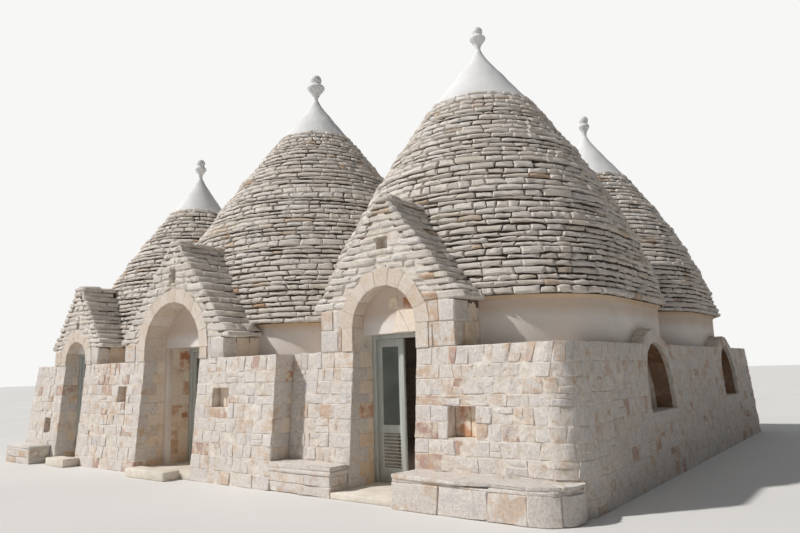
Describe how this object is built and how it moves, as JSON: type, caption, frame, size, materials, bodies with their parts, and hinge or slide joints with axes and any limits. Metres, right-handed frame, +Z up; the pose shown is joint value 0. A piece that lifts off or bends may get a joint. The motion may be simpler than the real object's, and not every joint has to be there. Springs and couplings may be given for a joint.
{
  "type": "trullo house",
  "caption": "Dry-stone country house with cone roofs on low battered walls, gabled arched porches with hinged glazed doors, stone benches and arched windows.",
  "frame": {"origin": "on the ground under the floor, in the middle of the main footprint", "axes": "X runs right along the front, Y goes from the front to the back, Z is up"},
  "size_m": [12.2, 11.6, 8.325],
  "materials": {
    "wall_stone": "rough squared limestone blocks, cream with ochre and pink ones",
    "dressed_stone": "dressed cream limestone",
    "roof_slabs": "rough limestone slabs in courses, grey-white and weathered",
    "plaster": "smooth lime plaster",
    "floor_stone": "worn limestone flags",
    "door_paint": "grey-green paint, satin",
    "glass": "clear"
  },
  "bodies": {
    "house": {"front_wall_left": "wall_stone", "front_wall_middle": "wall_stone", "front_wall_centre": "wall_stone", "front_wall_seat": "wall_stone", "front_wall_right": "wall_stone", "right_wall_front": "wall_stone", "right_wall_back": "wall_stone", "back_wall_wing": "wall_stone", "left_wall_wing": "wall_stone", "back_wall_centre": "wall_stone", "left_wall_centre": "wall_stone", "back_wall_left": "wall_stone", "left_wall": "wall_stone", "drum_right": "plaster", "drum_centre": "plaster", "drum_left": "plaster", "drum_back": "plaster", "cone_right": "roof_slabs", "cone_centre": "roof_slabs", "cone_left": "roof_slabs", "cone_back": "roof_slabs", "caps": "plaster", "finials": "plaster", "porch_right": "wall_stone", "porch_centre": "wall_stone", "porch_left": "wall_stone", "porch_roof_right": "roof_slabs", "porch_roof_centre": "roof_slabs", "porch_roof_left": "roof_slabs", "terrace": "plaster", "arch_rings": "dressed_stone", "tympanums": "dressed_stone", "door_frames": "door_paint", "window_frames": "door_paint", "window_glass": "glass", "floor": "floor_stone", "thresholds": "dressed_stone", "benches": "dressed_stone", "steps": "dressed_stone"},
    "right_door_left_leaf": {"door_right_leaf_left": "door_paint"},
    "right_door_right_leaf": {"door_right_leaf_right": "door_paint"},
    "centre_door_left_leaf": {"door_centre_leaf_left": "door_paint"},
    "centre_door_right_leaf": {"door_centre_leaf_right": "door_paint"},
    "left_door_leaf": {"door_left_leaf": "door_paint"}
  },
  "joints": [
    {"name": "right_door_left_hinge", "type": "hinge", "parent": "house", "child": "right_door_left_leaf", "pos_m": [2.855, -4.57, 0.085], "axis": [0, 0, 1], "range_deg": [0, 90]},
    {"name": "right_door_right_hinge", "type": "hinge", "parent": "house", "child": "right_door_right_leaf", "pos_m": [3.825, -4.57, 0.085], "axis": [0, 0, 1], "range_deg": [0, 90]},
    {"name": "centre_door_left_hinge", "type": "hinge", "parent": "house", "child": "centre_door_left_leaf", "pos_m": [-1.715, -4.46, 0.085], "axis": [0, 0, 1], "range_deg": [0, 90]},
    {"name": "centre_door_right_hinge", "type": "hinge", "parent": "house", "child": "centre_door_right_leaf", "pos_m": [-0.405, -4.46, 0.085], "axis": [0, 0, 1], "range_deg": [-90, 0]},
    {"name": "left_door_hinge", "type": "hinge", "parent": "house", "child": "left_door_leaf", "pos_m": [-4.7, -5.06, 0.085], "axis": [0, 0, 1], "range_deg": [0, 90]}
  ]
}
